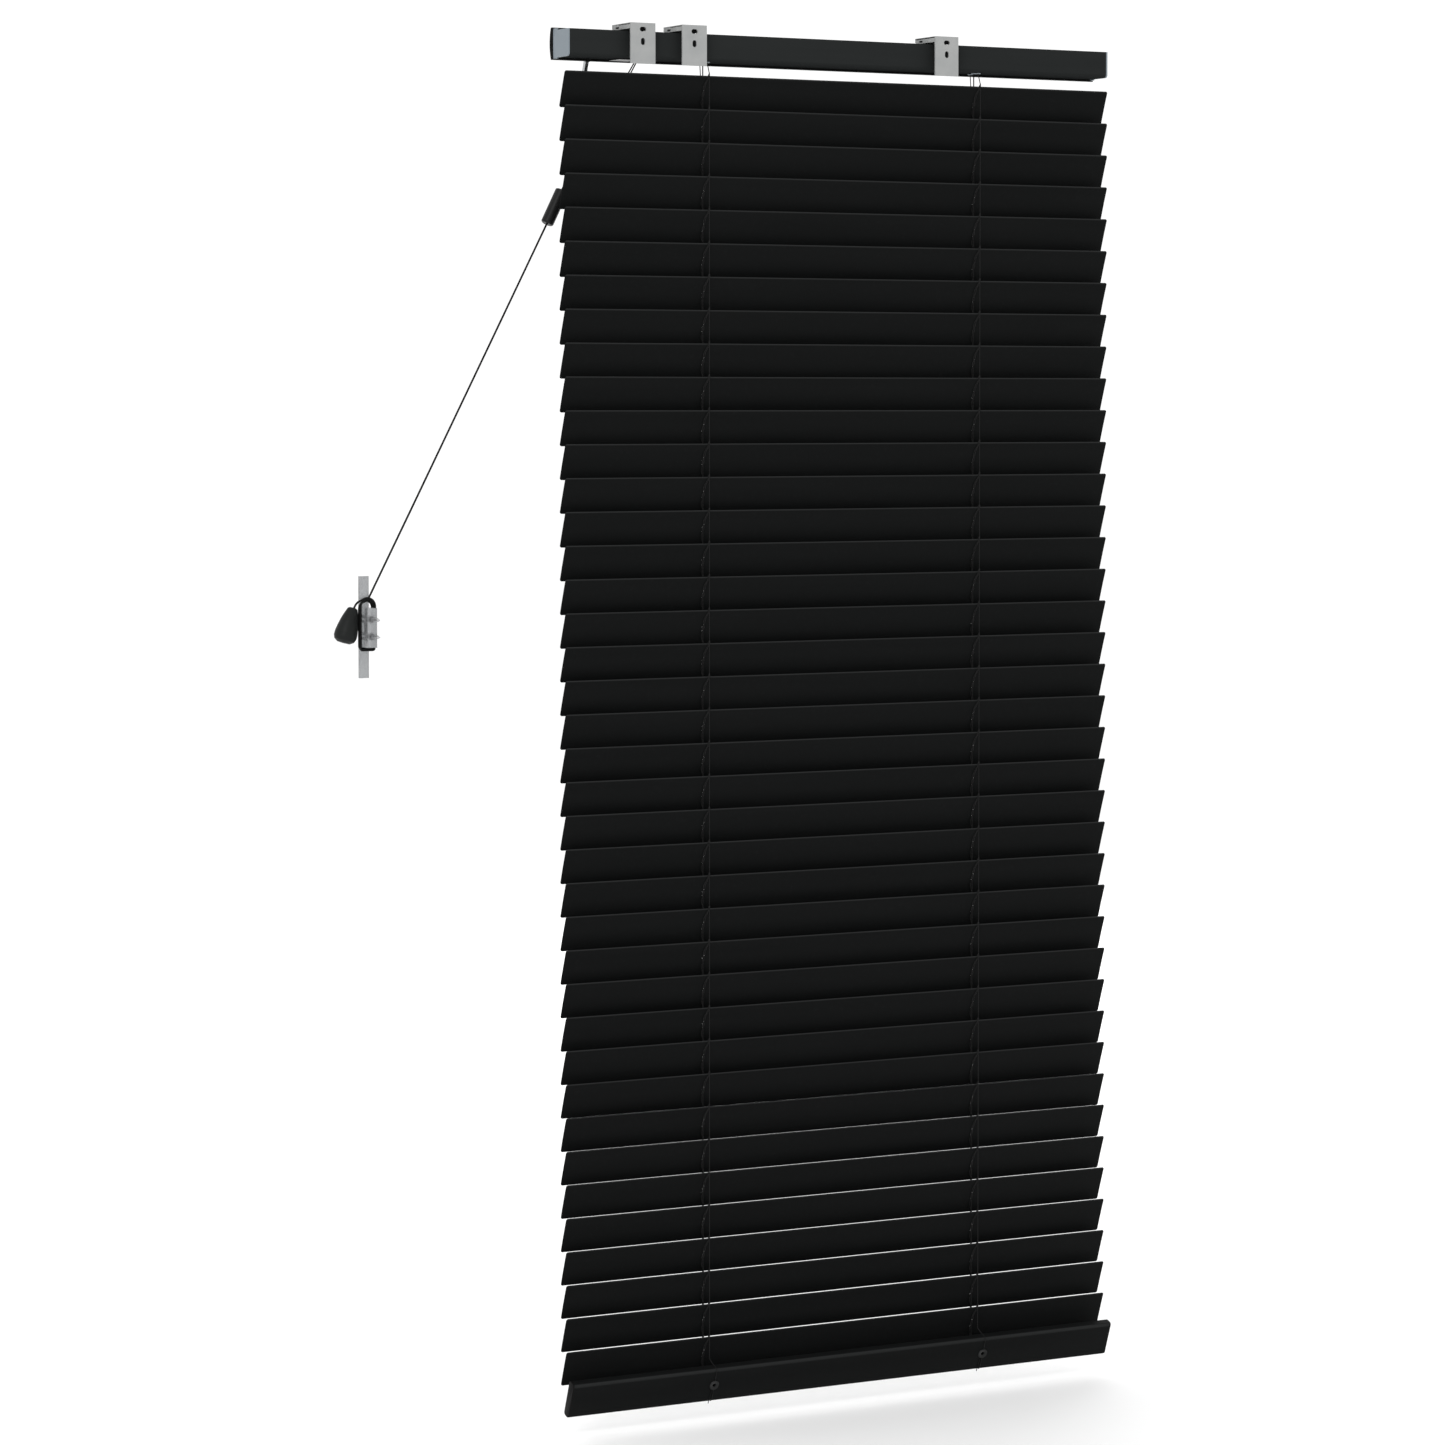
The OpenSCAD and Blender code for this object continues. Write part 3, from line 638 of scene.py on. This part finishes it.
def make_bottom_cords():
    half_w, under = BAR_W / 2, -BOTTOM_DROP - BAR_T / 2
    for station in STATIONS:
        word = "left" if station < 0 else "right"
        x = station + LADDER_DX
        bm = bmesh.new()
        for sign in (-1, 1):
            flat = [(LADDER_R, 0), (half_w + 1.4, -4.0), (half_w + 0.6, -8.6), (half_w + 0.35, -11.2),
                    (half_w, under + 0.7), (half_w - 2.2, under - 0.6), (10, under - 0.5),
                    (5.4, under - 0.6)]
            towards_plug = PLUG_DX * 0.4 / (len(flat) - 1)
            pts = [(x + towards_plug * k, *bar(sign * a, b)) for k, (a, b) in enumerate(flat)]
            tube(bm, rounded(pts, 1.0, 3), LADDER_D / 2, 8)
        finish_mesh("ladder_tail_" + word, bm, "ladder_black", "bottom_rail")
        bm = bmesh.new()
        x = station + LIFT_DX
        tube(bm, [(x, *bar(0, 0)), (x, *bar(0, -4)), (x, *bar(0, -9.5))], LIFT_D / 2, 8)
        finish_mesh("lift_cord_end_" + word, bm, "cord_black", "bottom_rail")
        # plug: a flanged cup pressed into the underside, with the knotted cord in its hole; the knot is
        # coloured darker than the cord and without gloss, as painted shade of the hole
        at = (station + PLUG_DX, *bar(0, under))
        down = Vector((0, *bar(0, -1))) - Vector((0, *bar(0, 0)))
        bm = bmesh.new()
        lathe(bm, [(1.7, -2.6), (3.4, -2.6), (3.4, 0.02), (4.6, 0.02), (5.0, 0.35), (4.7, 0.9), (4.0, 1.0),
                   (3.4, 0.7), (2.4, 0.6), (1.9, 0.4), (1.7, 0.0)], at, down, 48)
        finish_mesh("cord_plug_" + word, bm, "plug_black", "bottom_rail")
        bm = bmesh.new()
        lathe(bm, [(0, -2.4), (1.69, -2.4), (1.69, -0.9), (1.2, -0.35), (0.5, -0.1), (0, -0.05)],
              at, down, 32)
        finish_mesh("cord_knot_" + word, bm, "cord_hole_dark", "bottom_rail")
        # loose end of the ladder's string, from the plug's rim past the bar's room-side edge
        bm = bmesh.new()
        ends = [(-1.6, 4.2, -0.9), (-2.6, 9.0, -0.6), (-3.0, half_w - 2.0, -0.6),
                (-3.2, half_w + 1.6, -0.5)]
        tube(bm, rounded([(at[0] + dx, *bar(a, under + b)) for dx, a, b in ends], 2.0, 4), LADDER_D / 2, 8)
        finish_mesh("ladder_end_" + word, bm, "cord_black", "bottom_rail")


make_bottom_cords()


# ---- bottom rail caps ----

def make_bottom_caps():
    bar_end = 298.4
    for sign, word in ((-1, "left"), (1, "right")):
        bm = bmesh.new()

        def place(a, b, h, sign=sign):
            y, z = bar(a, b - BOTTOM_DROP)
            return Vector((sign * (bar_end + h), y, z))

        prism(bm, rounded_rect(BAR_W, BAR_T, 2.2), place, 0.0, 1.4, 0.35)
        prism(bm, rounded_rect(BAR_W - 1.8, BAR_T - 1.7, 1.4), place, -8.0, 0.0, 0.0)
        finish_mesh("bottom_cap_" + word, bm, "lever_black", "bottom_rail")


make_bottom_caps()


# ---- head rail fittings ----

def make_cradles():
    """Ladder drum cradles: a floor plate, two cheeks with a half bearing, and eyelets under the rail."""
    bearing_r, shoulder_z, top_z, foot_z = 3.1, -19.5, -14.0, -31.2
    exits = ((LADDER_DX, STRING_EXIT_Y["window"]), (LADDER_DX, STRING_EXIT_Y["room"]), (LIFT_DX, AXIS_Y))
    for station in STATIONS:
        word = "left" if station < 0 else "right"
        bm = bmesh.new()
        for x0, x1 in ((-3.4, -2.2), (8.6, 9.8)):
            arc = [(ROD.y + bearing_r * math.cos(t), ROD.z + bearing_r * math.sin(t)) for t in
                   (math.pi + math.pi * k / 10 for k in range(11))]
            outline = [(13.0, top_z), (13.0, foot_z), (36.2, foot_z), (36.2, top_z), (30.6, top_z),
                       (ROD.y + bearing_r, shoulder_z), *arc[::-1], (ROD.y - bearing_r, shoulder_z),
                       (23.2, top_z)]
            prism(bm, outline, across(station), x0, x1, 0.0)
        prism(bm, rounded_rect(13.2, 2.2, 0.4), facing(station + 3.2, foot_z + 0.4), 27.5, 30.4, 0.0)
        finish_mesh("drum_cradle_" + word, bm, "white_plastic", "fixed_frame")
        bm = bmesh.new()
        rim = [(1.0, 0.3), (1.0, -0.5), (1.2, -0.8), (1.9, -0.9), (2.5, -0.6), (2.6, 0.0), (1.5, 0.02),
               (1.5, 0.6)]
        for dx, y in exits:
            lathe(bm, rim, (station + dx, y, -32.52), (0, 0, 1), 28)
        finish_mesh("cord_eyelets_" + word, bm, "cap_grey", "fixed_frame")


make_cradles()


def stem_point(dx, h):
    """A point at dx beside the tilter stem's axis and h up it, in the plane of the stem."""
    return STEM_AT + Vector((dx, -math.sin(STEM_LEAN) * h, math.cos(STEM_LEAN) * h))


def make_tilter_housing():
    bm = bmesh.new()
    outline = [(14.0, -31.6), (34.0, -31.6), (37.2, -28.6), (37.2, -18.0), (33.5, -12.5), (16.0, -12.5),
               (14.0, -15.0)]
    for x0, x1 in ((-5.6, -4.4), (4.4, 5.6)):
        prism(bm, outline, across(STEM_AT.x), x0, x1, 0.25)
    for z, y0, y1 in ((-12.9, 16.4, 24.5), (-31.0, 14.2, 29.0)):
        prism(bm, rounded_rect(10.0, 1.2, 0.3), facing(STEM_AT.x, z), y0, y1, 0.2)
    finish_mesh("tilter_housing", bm, "white_plastic", "fixed_frame")
    bm = bmesh.new()
    down = stem_point(0, -1) - stem_point(0, 0)
    lathe(bm, [(2.75, -1.0), (3.2, -1.0), (3.2, 0.7), (3.9, 0.9), (3.9, 1.7), (3.6, 2.1), (2.75, 2.1)],
          stem_point(0, 0), down, 36)
    finish_mesh("tilter_collar", bm, "lever_black", "fixed_frame")


make_tilter_housing()


def make_levers():
    """The cam lever that locks the rail into each bracket: a plate on a rivet, with a skirt.

    The skirt stands behind the wall plate's upper slots, which look dark in the photograph.
    """
    reach, rivet_y, skirt_y = 3.2, 26.0, 6.6
    for number, x in enumerate(BRACKETS, 1):
        bm = bmesh.new()
        outline = [(-10.5, 16.0), (-7.0, 14.2), (7.0, 14.2), (10.5, 16.0), (11.6, 22.0), (11.6, 30.0),
                   (8.0, 34.2), (-8.0, 34.2), (-11.6, 30.0), (-11.6, 22.0)]
        prism(bm, outline, level(x, reach), -6.4, -4.6, 0.35)
        lathe(bm, [(0, -6.9), (2.2, -6.9), (2.6, -6.6), (2.6, -4.4), (1.6, -4.4), (1.6, -1.6), (0, -1.6)],
              (x, rivet_y, 0), (0, 0, 1), 28)
        prism(bm, rounded_rect(23.2, 7.0, 0.8), level(x, skirt_y), -6.8, -1.7, 0.3)
        finish_mesh("bracket_lever_%d" % number, bm, "lever_black", "fixed_frame")


make_levers()


def make_bracket_sides():
    """The bent-down sides of each bracket's flange, each with a short slot."""
    blocks = [((1.6, 24.0), (-5.4, -0.6)), ((31.0, 36.4), (-5.4, -0.6)), ((24.0, 31.0), (-2.7, -0.6)),
              ((24.0, 31.0), (-5.4, -4.5))]
    half_w, sheet = 13.0, 1.0
    for number, x in enumerate(BRACKETS, 1):
        bm = bmesh.new()
        for low in (x - half_w, x + half_w - sheet):
            for (y0, y1), (z0, z1) in blocks:
                prism(bm, [(y0, z0), (y1, z0), (y1, z1), (y0, z1)], across(low), 0.0, sheet, 0.0)
        finish_mesh("bracket_sides_%d" % number, bm, "bracket_grey", "fixed_frame")


make_bracket_sides()


# ---- world, lights and floor ----

WORLD_STRENGTH = 1.07
FLOOR_GAP = 0.02
FLOOR_RADIUS = 60


def make_studio():
    world = bpy.data.worlds.new("studio")
    world.use_nodes = True
    world.node_tree.nodes["Background"].inputs["Color"].default_value = (1.0, 1.0, 1.0, 1)
    world.node_tree.nodes["Background"].inputs["Strength"].default_value = WORLD_STRENGTH
    bpy.context.scene.world = world
    bpy.context.scene.view_settings.view_transform = "Standard"
    area_light("key", (-3.2, -3.0, 1.6), 2.2, 60)
    area_light("fill", (2.6, 3.2, 0.8), 2.5, 45)
    bm = bmesh.new()
    bmesh.ops.create_circle(bm, cap_ends=True, radius=FLOOR_RADIUS, segments=96)
    data = bpy.data.meshes.new("floor")
    bm.to_mesh(data)
    bm.free()
    floor = bpy.data.objects.new("floor", data)
    floor.location.z = cad_low.z - FLOOR_GAP
    bpy.context.scene.collection.objects.link(floor)
    m, tree, shader = new_material("floor_pale")
    coords = add(tree, "ShaderNodeTexCoord").outputs["Object"]
    patches = ranged(tree, noise(tree, coords, 1.5), 0, 1)
    tone = mixed(tree, patches, (0.97, 0.97, 0.97), (0.99, 0.99, 0.99))
    tree.links.new(tone, shader.inputs["Base Color"])
    shader.inputs["Roughness"].default_value = 0.9
    shader.inputs["Specular IOR Level"].default_value = 0.1
    data.materials.append(m)


make_studio()
